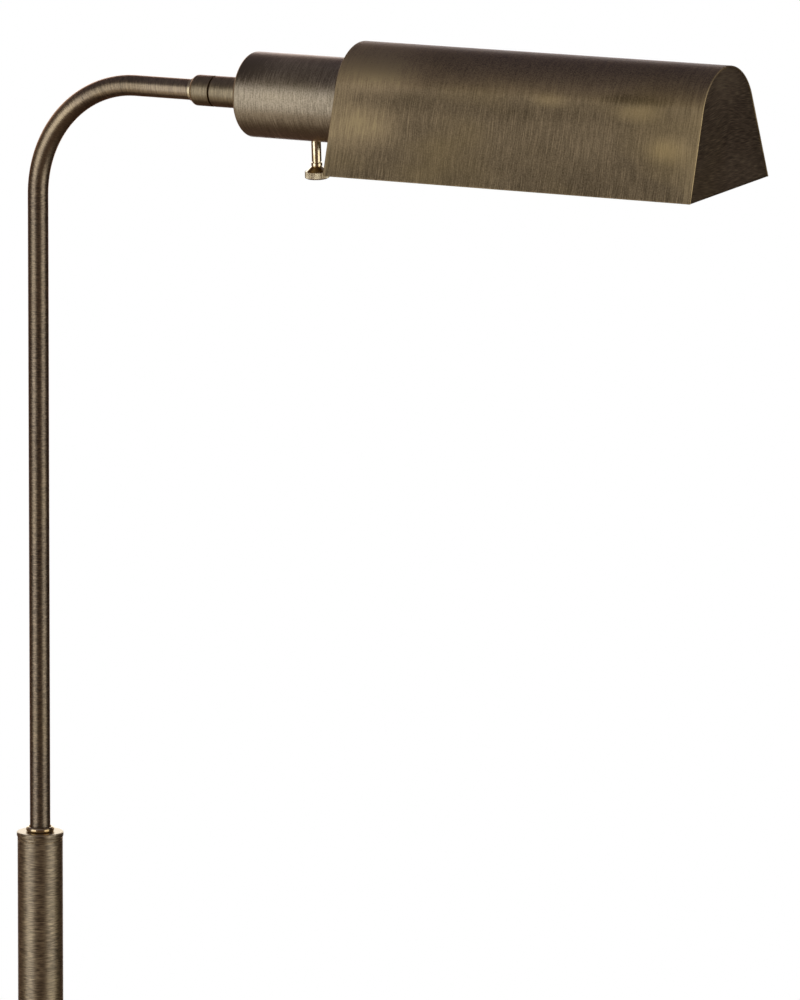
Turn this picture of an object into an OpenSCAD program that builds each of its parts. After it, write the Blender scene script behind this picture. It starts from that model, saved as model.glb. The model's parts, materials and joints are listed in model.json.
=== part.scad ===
// Floor lamp: a bent arm slides and turns in a post and carries a shade on a swivel.
// Millimetres. Z is up, the floor is Z = 0, the post stands on the Z axis, the arm points along +X.

/* [Base] */

// Diameter of the base cover
base_d = 254; // [200:1:320]

// Height of the cover's top above the floor
base_h = 26; // [24:0.5:34]

// Sheet thickness of the cover
cover_t = 1.5; // [1:0.1:2.5]

// Rounding of the cover's upper edge
cover_edge_r = 9; // [5:0.5:11]

// Gap between the cover's lower edge and the floor
cover_lift = 1; // [0.5:0.1:2]

// Thickness of the felt pad
pad_t = 3; // [2:0.5:4]

// Gap between the weight and the cover's rounded edge
weight_gap = 0.5; // [0.3:0.1:3]

// Diameter of the recess under the weight
recess_d = 46; // [36:1:70]

// Iron left above the recess
recess_web = 6.5; // [4:0.5:9]

// Width of the lead channel under the weight
channel_w = 12; // [10.5:0.5:18]

// Diameter of the ring at the foot of the post
foot_d = 46; // [34:1:70]

// Height of the ring at the foot of the post
foot_h = 9; // [6:0.5:16]

/* [Cord inlet] */

// Bore that takes the mains cord
inlet_bore = 7.2; // [5:0.1:8]

// Wall of the inlet bushing
inlet_wall = 1.3; // [1:0.1:2]

// Diameter of the bushing's flange
inlet_flange_d = 13; // [12:0.1:15]

// Thickness of the bushing's flange
inlet_flange_t = 2.5; // [1.5:0.1:4]

// Length of the bushing behind its flange
inlet_len = 8; // [5:0.5:12]

// Height of the inlet above the floor
inlet_z = 9; // [8.8:0.1:10]

/* [Post] */

// Outside diameter of the post
post_d = 22.225; // [20:0.005:30]

// Wall of the post
post_wall = 1.2; // [0.8:0.1:2]

// Length of the post
post_len = 800; // [600:1:1000]

// Length of the plug in the foot of the post
plug_len = 25; // [15:1:40]

// Height of the collar above the post
collar_h = 4; // [3:0.1:8]

// Diameter of the collar's upper lip
collar_lip_d = 22.9; // [22.5:0.1:26]

// Height of the collar's upper lip
collar_lip_h = 2.2; // [1:0.1:2.5]

// Length of the collar's spigot in the post
spigot_len = 22; // [12:1:40]

// Outside diameter of the nylon bush
bush_d = 13; // [12:0.1:15]

// Outside diameter of the bead ring
bead_d = 13.9; // [12.6:0.1:18]

// Height of the bead ring
bead_h = 2.6; // [1.6:0.1:4]

/* [Arm] */

// Outside diameter of the arm tube
tube_d = 10; // [8.6:0.1:10.5]

// Wall of the arm tube
tube_wall = 1; // [0.7:0.1:1.5]

// Height of the arm's level part above the collar, as photographed
arm_rise = 370.3; // [200:0.1:420]

// Radius of the bend, on the tube's centre line
bend_r = 56; // [35:0.5:75]

// Distance from the post's axis to the swivel
swivel_x = 89.7; // [84:0.1:160]

// Travel left above the rest height before the sleeve meets the bush
rise_left = 76; // [20:1:120]

// Length of the guide sleeve
sleeve_len = 30; // [20:1:50]

// Height of the rings above and below the sleeve
ring_h = 5; // [3:0.5:8]

// Diameter of the rings above and below the sleeve
ring_d = 15; // [13:0.5:16.5]

// Section of the rubber friction rings
rubber_d = 2; // [1.4:0.1:2.6]

// Diameter of the lead inside the lamp
lead_d = 3.2; // [2.4:0.1:3.6]

/* [Swivel] */

// Outside diameter of the swivel
swivel_d = 14.8; // [13.8:0.1:17]

// Length of the swivel's fixed half
fixed_len = 11.3; // [8:0.1:14]

// Rounding of the swivel's fixed end
swivel_edge_r = 2.2; // [0.4:0.1:2.4]

// Length of the swivel's turning half, with the seam
turn_len = 21.3; // [20:0.1:30]

// Width of the seam between the halves
seam_gap = 0.4; // [0.2:0.1:0.6]

// Diameter of the swivel's spigot
pivot_d = 9; // [8.6:0.1:9.2]

// Bore for the lead in the spigot
pivot_bore = 5; // [4:0.1:5.6]

// Diameter of the stop pin
stop_d = 1.2; // [0.8:0.1:1.3]

// Turn of the head to each side of upright
turn_limit = 168; // [120:1:170]

// Roll of the head about the arm, as photographed
head_roll = 3.75; // [-15:0.05:15]

/* [Lamp holder] */

// Outside diameter of the cup
cup_d = 40.6; // [38.5:0.1:50]

// Length of the cup
cup_len = 59.8; // [56:0.1:70]

// Wall of the cup
cup_wall = 1; // [0.6:0.1:1.5]

// Rounding of the cup's back edge
cup_edge_r = 1.6; // [1.2:0.1:4]

// Diameter of the lamp holder's body
holder_d = 35.4; // [35:0.1:36]

// Thread of the lamp holder's neck
neck_d = 33; // [31:0.1:34]

// Length of the neck in the shade
neck_len = 10; // [8:0.5:14]

// Bore for the bulb's screw shell
screw_d = 28; // [27.8:0.1:28.6]

// Diameter of the ring that clamps the shade
clamp_d = 42; // [40:0.5:44]

// Thickness of the ring that clamps the shade
clamp_t = 5; // [3:0.5:6]

/* [Shade] */

// Length of the shade
shade_len = 195.5; // [180:0.5:240]

// Width of the shade across its open side
shade_w = 76.6; // [72:0.1:100]

// Height of the shade above the arm's axis
shade_top = 28.8; // [27:0.1:40]

// Depth of the shade below the arm's axis
shade_drop = 29; // [27:0.1:40]

// Radius of the shade's crown
crown_r = 25.4; // [24:0.1:32]

// Sheet thickness of the shade
sheet_t = 1; // [0.6:0.1:1.5]

// Thickness of the end plates
plate_t = 1; // [0.6:0.1:1.5]

// Step between the shade's rim and its end plate
plate_step = 0.3; // [0.1:0.1:1]

/* [Bulb] */

// Diameter of the bulb
bulb_d = 32; // [28:0.5:36]

// Length of the bulb with its cap
bulb_len = 140; // [100:1:160]

// Thickness of the glass
glass_t = 0.8; // [0.5:0.1:1.2]

/* [Switch knob] */

// Distance of the knob behind the shade
knob_back = 26.1; // [24:0.1:28]

// Diameter of the knob's stem
stem_d = 4.7; // [4.4:0.1:6]

// Length of the stem below the cup
stem_len = 9.9; // [6:0.1:20]

// Height of the groove and bead under the stem
stem_bead_h = 2.2; // [0.8:0.1:2.4]

// Height of the cone above the knob's head
knob_cone_h = 2.5; // [1.2:0.1:4]

// Diameter of the knob's head
knob_d = 11.6; // [9:0.1:15]

// Thickness of the knob's head
knob_h = 3.5; // [2.6:0.1:6]

// Number of ribs round the knob's head
knob_ribs = 40; // [24:2:48]

/* [Fits] */

// Gap of a turning or sliding fit, on the radius
run_gap = 0.06; // [0.03:0.01:0.1]

// Gap between pieces fixed together, on the radius
fix_gap = 0.03; // [0.02:0.01:0.06]

// Gap between pieces that pass each other
pass_gap = 0.4; // [0.3:0.1:0.6]

// Play between faces that turn on each other
face_gap = 0.1; // [0.05:0.01:0.2]

/* [Node] */

// Piece to build

/* [Hidden] */

$fn = 96;
over = 1;

brass = [0.42, 0.36, 0.26];
polished = [0.78, 0.62, 0.34];
iron = [0.22, 0.22, 0.23];
steel = [0.62, 0.63, 0.65];
felt = [0.12, 0.16, 0.12];
nylon = [0.88, 0.87, 0.82];
rubber = [0.08, 0.08, 0.08];
phenolic = [0.1, 0.08, 0.07];
alloy = [0.75, 0.76, 0.78];
opal = [0.95, 0.95, 0.92];
sheath = [0.85, 0.83, 0.76];

// Heights of the base and post
weight_top = base_h - cover_t;
weight_d = base_d - 2 * cover_edge_r - 2 * weight_gap;
recess_top = weight_top - recess_web;
washer_t = 1.5;
washer_d = 24;
nut_h = 4;
nut_af = 16;
tie_d = 10;
tie_bore = 7;
nut_z = recess_top - washer_t - nut_h;
tie_bottom = nut_z - 0.5;
plug_top = base_h + plug_len;
plug_floor = 6;
post_top = base_h + post_len;
collar_top = post_top + collar_h;
post_bore = post_d - 2 * post_wall;
tube_bore = tube_d - 2 * tube_wall;
bush_flange_d = 17;
bush_flange_t = 2;
bush_lip = 1.2;
bush_bottom = post_top - spigot_len - bush_flange_t;

// Heights of the sliding pieces at rest
arm_z = collar_top + arm_rise;
stop_top = bush_bottom - rise_left;
stop_bottom = stop_top - ring_h;
sleeve_top = stop_bottom - face_gap;
sleeve_bottom = sleeve_top - sleeve_len;
end_top = sleeve_bottom - face_gap;
tube_bottom = end_top - ring_h;
grommet_t = 4;
grommet_d = 12;
arm_lead_bottom = tube_bottom - grommet_t;

// Stations along the arm's axis, measured from the post's axis
neck_t = 1.8;
neck_ring_d = tube_d + 0.9;
tube_depth = 5.5;
fixed_edge_r = min(swivel_edge_r, (swivel_d - tube_d) / 2 - 0.2);
seam_x = swivel_x + fixed_len;
barrel_x = seam_x + seam_gap;
cup_x = seam_x + turn_len;
web_len = 8;
web_x = barrel_x + web_len;
friction_t = 1.4;
friction_x = web_x + face_gap;
clip_t = 1;
clip_x = friction_x + friction_t + 0.05;
clip_groove_d = pivot_d - 1.4;
cavity_d = 12;
pivot_end = clip_x + clip_t + 0.5;
link_x = pivot_end + 1;
cup_nut_h = 4;
cup_nut_af = 17;
link_end = cup_x + cup_wall + cup_nut_h + 3;
stop_r = (pivot_d / 2 + swivel_d / 2) / 2;
stop_reach = 1.2;
shade_x = cup_x + cup_len;
shade_end = shade_x + shade_len;
knob_x = shade_x - knob_back;

// Stations inside the lamp holder
holder_back = cup_x + cup_wall + cup_nut_h + 0.2;
hub_d = 19;
hub_len = 5;
holder_wall = 3;
room_x = holder_back + hub_len + holder_wall;
room_end = shade_x - 20;
screw_floor = 3;
screw_x = room_end + screw_floor;
neck_end = shade_x + neck_len;
screw_wall = 0.5;
contact_t = 1.2;
cap_d = 26;
cap_x = screw_x + contact_t + 1.6;
cap_len = 26;
pitch = 3.6;
bulb_end = cap_x - 1.6 + bulb_len;
glass_x = cap_x + cap_len - 3;

// Stations along the knob's axis, measured from the arm's axis
shaft_d = 3;
rotor_d = 10;
rotor_r = 4;
stem_in = holder_d / 2 + 0.4;
stem_end = cup_d / 2 + stem_len;
stem_groove = 0.4;
bead_proud = 0.3;
bead_end = stem_end + stem_bead_h;
cone_end = bead_end + knob_cone_h;
knob_end = cone_end + knob_h;
knob_edge = 0.5;

// Section of the shade: a crown arc with straight sides tangent to it
crown_z = shade_top - crown_r;
crown_drop = crown_z + shade_drop;
side_a = acos(crown_r / norm([shade_w / 2, crown_drop])) - atan2(crown_drop, shade_w / 2);

function side_y(z, r) = (r + (crown_z - z) * sin(side_a)) / cos(side_a);

// Route of the slack lead: loose turns in the post, then down the tie and out along the base
coil_top = arm_lead_bottom - 0.3;
coil_bottom = plug_top + 20;
coil_r = 4.2;
coil_turns = 5;
coil_steps = 11 * coil_turns;
turn_r = 2.2 * lead_d;
run_z = tie_bottom - turn_r + 1;
lead_x = -(base_d / 2 - inlet_len - 4);

function ease(t) = t * t * (3 - 2 * t);
function coil_point(t) = [
    coil_r * min(1, ease(min(1, t * 8)), ease(min(1, (1 - t) * 8))) * cos(360 * coil_turns * t),
    coil_r * min(1, ease(min(1, t * 8)), ease(min(1, (1 - t) * 8))) * sin(360 * coil_turns * t),
    coil_top - 6 - t * (coil_top - 6 - coil_bottom)
];
lead_route = concat(
    [[0, 0, coil_top]],
    [for (i = [0 : coil_steps]) coil_point(i / coil_steps)],
    [[0, 0, plug_top], [0, 0, tie_bottom + 8]],
    [for (a = [0 : 15 : 90]) [-turn_r * (1 - cos(a)), 0, run_z + turn_r * (1 - sin(a))]],
    [[-recess_d / 2, 0, run_z], [-recess_d, 0, run_z]],
    [[lead_x + 24, 0, run_z + 0.15 * (inlet_z - run_z)], [lead_x + 12, 0, inlet_z - 0.15 * (inlet_z - run_z)]],
    [[lead_x + 4, 0, inlet_z], [lead_x, 0, inlet_z]]
);

// Shared shapes

module pipe(d, bore, h) {
    difference() {
        cylinder(d = d, h = h);
        translate([0, 0, -over])
            cylinder(d = bore, h = h + 2 * over);
    }
}

module hex_nut(af, bore, h) {
    difference() {
        cylinder(d = af / cos(30), h = h, $fn = 6);
        translate([0, 0, -over])
            cylinder(d = bore, h = h + 2 * over);
    }
}

module raised(z) {
    translate([0, 0, z])
        children();
}

module along_arm(x) {
    translate([x, 0, arm_z])
        rotate([0, 90, 0])
            children();
}

module in_head() {
    translate([0, 0, arm_z])
        rotate([head_roll, 0, 0])
            children();
}

module along_head(x) {
    in_head()
        translate([x, 0, 0])
            rotate([0, 90, 0])
                children();
}

module down_knob(r) {
    in_head()
        translate([knob_x, 0, -r])
            rotate([180, 0, 0])
                children();
}

module arm_path(d, x_end, z_end) {
    raised(z_end)
        cylinder(d = d, h = arm_z - bend_r - z_end);
    translate([bend_r, 0, arm_z - bend_r])
        rotate([90, 0, 0])
            rotate([0, 0, 90])
                rotate_extrude(angle = 90)
                    translate([bend_r, 0])
                        circle(d = d);
    along_arm(bend_r)
        cylinder(d = d, h = x_end - bend_r);
}

module edge_profile(r, h, edge) {
    square([r - edge, h]);
    square([r, h - edge]);
    translate([r - edge, h - edge])
        circle(r = edge);
}

module shade_profile(inset, below) {
    r = crown_r - inset;
    z_low = -shade_drop - below;
    y_low = side_y(z_low, r);
    y_top = r * cos(side_a);
    z_top = crown_z + r * sin(side_a);
    translate([0, crown_z])
        circle(r = r);
    polygon([[-y_low, z_low], [y_low, z_low], [y_top, z_top], [-y_top, z_top]]);
}

module shade_slab(x, t) {
    in_head()
        translate([x, 0, 0])
            rotate([90, 0, 90])
                linear_extrude(t)
                    children();
}

module swept(route, d, sides) {
    n = len(route);
    rings = [for (i = [0 : n - 1])
        let (
            ahead = route[min(i + 1, n - 1)] - route[max(i - 1, 0)],
            t = ahead / norm(ahead),
            side = cross([0, 1, 0], t),
            u = side / norm(side),
            v = cross(t, u)
        )
        for (k = [0 : sides - 1])
            route[i] + d / 2 * (cos(360 * k / sides) * u + sin(360 * k / sides) * v)
    ];
    walls = [for (i = [0 : n - 2], k = [0 : sides - 1])
        let (
            a = i * sides + k,
            b = i * sides + (k + 1) % sides
        )
        each [[a, a + sides, b], [b, a + sides, b + sides]]
    ];
    first = [for (k = [0 : sides - 1]) k];
    last = [for (k = [0 : sides - 1]) n * sides - 1 - k];
    polyhedron(points = rings, faces = concat(walls, [first], [last]));
}

// Base

module base_cover() {
    color(brass)
        difference() {
            rotate_extrude()
                difference() {
                    intersection() {
                        edge_profile(base_d / 2, base_h, cover_edge_r);
                        translate([0, cover_lift])
                            square([base_d, base_h]);
                    }
                    edge_profile(base_d / 2 - cover_t, base_h - cover_t, cover_edge_r - cover_t);
                    square([tie_d / 2 + pass_gap, base_h + over]);
                }
            translate([-base_d / 2 - over, 0, inlet_z])
                rotate([0, 90, 0])
                    cylinder(d = inlet_bore + 2 * inlet_wall + 2 * fix_gap, h = 8);
        }
}

module base_weight() {
    color(iron)
        difference() {
            raised(pad_t)
                rotate_extrude()
                    edge_profile(weight_d / 2, weight_top - pad_t, 2);
            raised(pad_t - over)
                cylinder(d = recess_d, h = recess_top - pad_t + over);
            cylinder(d = tie_d + 2 * pass_gap, h = base_h);
            translate([-base_d, -channel_w / 2, pad_t - over])
                cube([base_d, channel_w, recess_top - pad_t - 1 + over]);
        }
}

module base_pad() {
    color(felt)
        cylinder(d = base_d - 2 * cover_t - 2, h = pad_t);
}

module post_foot() {
    step = (foot_d - post_d) / 2 - 3;
    color(brass)
        raised(base_h)
            rotate_extrude()
                difference() {
                    square([foot_d / 2, foot_h]);
                    translate([foot_d / 2, foot_h])
                        circle(r = min(step, foot_h - 3));
                    translate([0, -over])
                        square([post_d / 2 + fix_gap, foot_h + 2 * over]);
                }
}

module lower_post() {
    color(brass)
        raised(base_h)
            pipe(post_d, post_bore, post_len);
}

module post_plug() {
    color(steel)
        difference() {
            raised(base_h)
                cylinder(d = post_bore - 2 * fix_gap, h = plug_len);
            raised(base_h - over)
                cylinder(d = tie_d, h = plug_len - plug_floor + over);
            raised(base_h)
                cylinder(d = tie_bore, h = plug_len + over);
        }
}

module base_nipple() {
    color(steel)
        raised(tie_bottom)
            pipe(tie_d - 2 * fix_gap, tie_bore, plug_top - plug_floor - tie_bottom - 0.2);
}

module base_washer() {
    color(steel)
        raised(recess_top - washer_t)
            pipe(washer_d, tie_d + 2 * pass_gap, washer_t);
}

module base_nut() {
    color(steel)
        raised(nut_z)
            hex_nut(nut_af, tie_d, nut_h);
}

module cord_bushing() {
    shank = inlet_bore + 2 * inlet_wall;
    color(rubber)
        translate([-base_d / 2 - inlet_flange_t, 0, inlet_z])
            rotate([0, 90, 0])
                difference() {
                    union() {
                        cylinder(d = inlet_flange_d, h = inlet_flange_t);
                        cylinder(d = shank, h = inlet_flange_t + inlet_len);
                    }
                    raised(-over)
                        cylinder(d = inlet_bore, h = inlet_flange_t + inlet_len + 2 * over);
                }
}

module post_collar() {
    lip_bore = tube_d + 2 * pass_gap;
    color(brass)
        difference() {
            union() {
                raised(post_top)
                    cylinder(d = post_d, h = collar_h);
                raised(collar_top - collar_lip_h)
                    rotate_extrude()
                        edge_profile(collar_lip_d / 2, collar_lip_h, 0.4);
                raised(post_top - spigot_len)
                    cylinder(d = post_bore - 2 * fix_gap, h = spigot_len + over);
            }
            raised(post_top - spigot_len - over)
                cylinder(d = bush_d, h = spigot_len + collar_h - bush_lip + over);
            raised(post_top)
                cylinder(d = lip_bore, h = collar_h + over);
            raised(collar_top - collar_lip_h - 0.35)
                pipe(post_d + 2, post_d - 0.5, 0.35);
        }
}

module collar_ring() {
    bore = tube_d + 2 * pass_gap;
    wall = (bead_d - bore) / 2;
    color(polished)
        raised(collar_top)
            rotate_extrude()
                translate([bore / 2, 0])
                    difference() {
                        edge_profile(wall, bead_h, min(wall, bead_h / 2) - 0.1);
                        translate([-wall, -over])
                            square([wall, bead_h + 2 * over]);
                    }
}

module collar_bush() {
    inside = tube_d + 2 * run_gap;
    color(nylon) {
        raised(post_top - spigot_len)
            pipe(bush_d - 2 * fix_gap, inside, spigot_len + collar_h - bush_lip);
        raised(bush_bottom)
            pipe(bush_flange_d, inside, bush_flange_t);
    }
}

module post_lead() {
    color(sheath)
        swept(lead_route, lead_d, 8);
}

// Slider

module guide_sleeve() {
    outside = post_bore - 2 * run_gap;
    groove = outside - 2 * rubber_d - 2 * fix_gap;
    color(nylon)
        difference() {
            raised(sleeve_bottom)
                pipe(outside, tube_d + 2 * run_gap, sleeve_len);
            for (z = [sleeve_bottom + sleeve_len / 4, sleeve_top - sleeve_len / 4])
                raised(z - rubber_d / 2 - 0.1)
                    pipe(outside + 2, groove, rubber_d + 0.2);
        }
}

module guide_rings() {
    ring_r = (post_bore - 2 * run_gap - rubber_d) / 2;
    color(rubber)
        for (z = [sleeve_bottom + sleeve_len / 4, sleeve_top - sleeve_len / 4])
            raised(z)
                rotate_extrude()
                    translate([ring_r, 0])
                        circle(d = rubber_d);
}

// Arm

module arm_tube() {
    color(brass)
        difference() {
            arm_path(tube_d, swivel_x + tube_depth, tube_bottom);
            arm_path(tube_bore, swivel_x + tube_depth + over, tube_bottom - over);
        }
}

module tube_stop_ring() {
    color(steel)
        raised(stop_bottom)
            pipe(ring_d, tube_d + 2 * fix_gap, ring_h);
}

module tube_end_ring() {
    color(steel)
        raised(tube_bottom)
            pipe(ring_d, tube_d + 2 * fix_gap, ring_h);
}

module lead_grommet() {
    color(nylon)
        difference() {
            union() {
                raised(arm_lead_bottom)
                    cylinder(d = grommet_d, h = grommet_t);
                raised(tube_bottom)
                    cylinder(d = tube_bore - 2 * fix_gap, h = 6);
            }
            raised(arm_lead_bottom - over)
                cylinder(d = lead_d + 2 * pass_gap, h = grommet_t + 6 + 2 * over);
        }
}

module neck_ring() {
    color(polished)
        along_arm(swivel_x - neck_t)
            pipe(neck_ring_d, tube_d + 2 * fix_gap, neck_t);
}

module swivel_body() {
    color(brass)
        difference() {
            union() {
                along_arm(seam_x)
                    rotate([180, 0, 0])
                        rotate_extrude()
                            edge_profile(swivel_d / 2, fixed_len, fixed_edge_r);
                along_arm(seam_x - over)
                    cylinder(d = pivot_d, h = pivot_end - seam_x + over);
            }
            along_arm(swivel_x - over)
                cylinder(d = tube_d + 2 * fix_gap, h = tube_depth + over);
            along_arm(swivel_x)
                cylinder(d = pivot_bore, h = pivot_end - swivel_x + over);
            along_arm(clip_x - 0.05)
                pipe(pivot_d + 2, clip_groove_d, clip_t + 0.1);
            along_arm(seam_x - 2)
                translate([-stop_r, 0, 0])
                    cylinder(d = stop_d + 2 * fix_gap, h = 2 + over);
        }
}

module swivel_stop_pin() {
    color(steel)
        along_arm(seam_x - 2)
            translate([-stop_r, 0, 0])
                cylinder(d = stop_d, h = 2 + seam_gap + stop_reach);
}

module swivel_washer() {
    color(nylon)
        along_arm(friction_x)
            pipe(cavity_d - 2 * pass_gap, pivot_d + 2 * fix_gap, friction_t);
}

module swivel_clip() {
    color(steel)
        along_arm(clip_x)
            difference() {
                pipe(cavity_d - 2 * pass_gap, clip_groove_d + 2 * fix_gap, clip_t);
                translate([0, -1.2, -over])
                    cube([cavity_d, 2.4, clip_t + 2 * over]);
            }
}

module arm_lead() {
    color(sheath)
        arm_path(lead_d, pivot_end, arm_lead_bottom);
}

// Head

module swivel_barrel() {
    groove_w = stop_d + 2 * pass_gap - 0.4;
    block = 180 - turn_limit - asin(stop_d / 2 / stop_r) - 1;
    color(brass)
        difference() {
            along_head(barrel_x)
                cylinder(d = swivel_d, h = cup_x - barrel_x);
            along_head(barrel_x - over)
                cylinder(d = pivot_d + 2 * run_gap, h = web_len + 2 * over);
            along_head(web_x)
                cylinder(d = cavity_d, h = cup_x - web_x + over);
            along_head(barrel_x - over)
                rotate([0, 0, block])
                    rotate_extrude(angle = 360 - 2 * block)
                        translate([stop_r - groove_w / 2, 0])
                            square([groove_w, stop_reach + 0.4 + over]);
        }
}

module cup_nipple() {
    color(steel)
        along_head(link_x)
            pipe(cavity_d - 2 * fix_gap, tie_bore, link_end - link_x);
}

module cup_nut() {
    color(steel)
        along_head(cup_x + cup_wall)
            hex_nut(cup_nut_af, cavity_d, cup_nut_h);
}

module socket_cup() {
    inside = cup_d / 2 - cup_wall;
    color(brass)
        difference() {
            along_head(shade_x)
                rotate([180, 0, 0])
                    rotate_extrude()
                        difference() {
                            edge_profile(cup_d / 2, cup_len, cup_edge_r);
                            translate([0, -over])
                                edge_profile(inside, cup_len - cup_wall + over, cup_edge_r - cup_wall);
                        }
            along_head(cup_x - over)
                cylinder(d = cavity_d + 2 * fix_gap, h = cup_wall + 2 * over);
            down_knob(cup_d / 4)
                cylinder(d = stem_d + 2 * pass_gap, h = cup_d / 2);
        }
}

module socket_body() {
    color(phenolic)
        difference() {
            union() {
                along_head(holder_back)
                    cylinder(d = hub_d, h = hub_len + over);
                along_head(holder_back + hub_len)
                    cylinder(d = holder_d, h = shade_x - holder_back - hub_len);
                along_head(shade_x - over)
                    cylinder(d = neck_d, h = neck_len + over);
            }
            along_head(holder_back - over)
                cylinder(d = cavity_d, h = link_end - holder_back + over + 0.2);
            along_head(holder_back)
                cylinder(d = pivot_bore, h = room_x - holder_back + over);
            along_head(room_x)
                cylinder(d = screw_d, h = room_end - room_x);
            along_head(screw_x)
                cylinder(d = screw_d, h = neck_end - screw_x + over);
            along_head(room_end - over)
                cylinder(d = 3, h = screw_floor + 2 * over);
            down_knob(rotor_r)
                cylinder(d = shaft_d + 2 * run_gap, h = holder_d / 2);
        }
}

module socket_shell() {
    color(alloy)
        along_head(screw_x)
            pipe(screw_d - 2 * fix_gap, screw_d - 2 * fix_gap - 2 * screw_wall, neck_end - screw_x - 1.5);
}

module socket_contact() {
    color(polished) {
        along_head(screw_x)
            cylinder(d = 9, h = contact_t);
        along_head(room_end - 0.5)
            cylinder(d = 3 - 2 * fix_gap, h = screw_floor + 0.5 + contact_t / 2);
    }
}

module terminal_screws() {
    color(polished)
        for (side = [-1, 1])
            in_head()
                translate([room_x, 9.2 * side, 0])
                    rotate([0, 90, 0])
                        difference() {
                            cylinder(d = 6.4, h = 2.4);
                            translate([-4, -0.5, 1.4])
                                cube([8, 1, 2]);
                        }
}

module shade_ring() {
    color(phenolic)
        along_head(shade_x + plate_t)
            difference() {
                pipe(clamp_d, neck_d + 2 * fix_gap, clamp_t);
                for (a = [0 : 30 : 330])
                    rotate([0, 0, a])
                        translate([clamp_d / 2 + 0.6, 0, -over])
                            cylinder(d = 3.2, h = clamp_t + 2 * over);
            }
}

module shade_shell() {
    color(brass)
        shade_slab(shade_x, shade_len)
            difference() {
                shade_profile(0, 0);
                shade_profile(sheet_t, over);
            }
}

module shade_inner_plate() {
    color(brass)
        shade_slab(shade_x, plate_t)
            difference() {
                shade_profile(sheet_t + fix_gap, 0);
                circle(d = neck_d + 2 * fix_gap);
            }
}

module shade_outer_plate() {
    color(brass)
        shade_slab(shade_end - plate_step - plate_t, plate_t)
            shade_profile(sheet_t + fix_gap, 0);
}

module bulb_profile(inset) {
    r = bulb_d / 2 - inset;
    neck_r = cap_d / 2 - 1.4 - inset;
    shoulder = glass_x + 14;
    straight = bulb_end - bulb_d / 2;
    polygon([
        [0, glass_x - over],
        [neck_r, glass_x - over],
        [neck_r, glass_x + 3],
        [r, shoulder],
        [r, straight],
        [0, straight]
    ]);
    intersection() {
        translate([0, straight])
            circle(r = r);
        translate([0, straight - over])
            square([bulb_d, bulb_d]);
    }
}

module bulb_glass() {
    color(opal)
        along_head(0)
            rotate_extrude()
                difference() {
                    bulb_profile(0);
                    bulb_profile(glass_t);
                    translate([0, glass_x - 2 * over])
                        square([bulb_d, 2 * over]);
                }
}

module bulb_cap() {
    crest = cap_d / 2 + 0.1;
    color(alloy)
        along_head(cap_x)
            rotate_extrude()
                difference() {
                    union() {
                        polygon([[0, 1], [5, 0], [6, 0], [crest - 0.9, 3], [crest - 0.9, cap_len], [0, cap_len]]);
                        for (i = [0 : 4])
                            translate([crest - 0.9, 5 + i * pitch])
                                circle(r = 0.9);
                    }
                    translate([0, 4])
                        square([cap_d / 2 - 1.4 + fix_gap, cap_len]);
                    square([4.6, 6]);
                }
}

module bulb_contact() {
    color(steel)
        along_head(cap_x - 1.6)
            rotate_extrude()
                difference() {
                    union() {
                        square([4.6 - fix_gap, 5]);
                        square([3, 6]);
                    }
                    translate([3, -over])
                        square([4, over + 1.6]);
                }
}

module head_lead() {
    color(sheath)
        along_head(pivot_end + 0.3)
            cylinder(d = lead_d, h = room_x + 2 - pivot_end);
}

// Knob

module switch_rotor() {
    color(phenolic)
        down_knob(-rotor_r)
            difference() {
                cylinder(d = rotor_d, h = 2 * rotor_r);
                raised(2)
                    cylinder(d = shaft_d + 2 * fix_gap, h = 2 * rotor_r);
            }
}

module switch_shaft() {
    color(steel)
        down_knob(2 - rotor_r)
            cylinder(d = shaft_d, h = bead_end + rotor_r - 2);
}

module switch_knob() {
    rib = 360 / knob_ribs;
    half_bead = (stem_bead_h - stem_groove) / 2;
    bead_r = half_bead + bead_proud;
    color(polished)
        difference() {
            union() {
                down_knob(stem_in)
                    cylinder(d = stem_d, h = stem_end - stem_in);
                down_knob(stem_end)
                    cylinder(d = stem_d - 0.7, h = stem_groove);
                down_knob(stem_end + stem_groove)
                    rotate_extrude()
                        difference() {
                            translate([stem_d / 2 + bead_proud - bead_r, half_bead])
                                circle(r = bead_r);
                            translate([-stem_d, -stem_d])
                                square([stem_d, 2 * stem_d]);
                        }
                down_knob(stem_end + stem_groove)
                    cylinder(d = stem_d, h = bead_end - stem_end);
                down_knob(bead_end)
                    cylinder(d1 = stem_d, d2 = knob_d - 1.4, h = knob_cone_h);
                down_knob(cone_end)
                    linear_extrude(knob_h - knob_edge)
                        polygon([for (i = [0 : knob_ribs - 1], s = [0, 1])
                            (knob_d / 2 - 0.3 * s) * [cos(rib * (i + s / 2)), sin(rib * (i + s / 2))]]);
                down_knob(knob_end - knob_edge)
                    cylinder(d1 = knob_d - 0.7, d2 = knob_d - 2, h = knob_edge);
            }
            down_knob(stem_in - over)
                cylinder(d = shaft_d + 2 * fix_gap, h = bead_end - stem_in + over + 0.1);
        }
}

base_cover();
base_weight();
base_pad();
post_foot();
lower_post();
post_plug();
base_nipple();
base_washer();
base_nut();
cord_bushing();
post_collar();
collar_ring();
collar_bush();
post_lead();
guide_sleeve();
guide_rings();
arm_tube();
tube_stop_ring();
tube_end_ring();
lead_grommet();
neck_ring();
swivel_body();
swivel_stop_pin();
swivel_washer();
swivel_clip();
arm_lead();
swivel_barrel();
cup_nipple();
cup_nut();
socket_cup();
socket_body();
socket_shell();
socket_contact();
terminal_screws();
shade_ring();
shade_shell();
shade_inner_plate();
shade_outer_plate();
bulb_glass();
bulb_cap();
bulb_contact();
head_lead();
switch_rotor();
switch_shaft();
switch_knob();
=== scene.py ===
import json
import math

import bmesh
import bpy
from mathutils import Matrix, Vector


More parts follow.
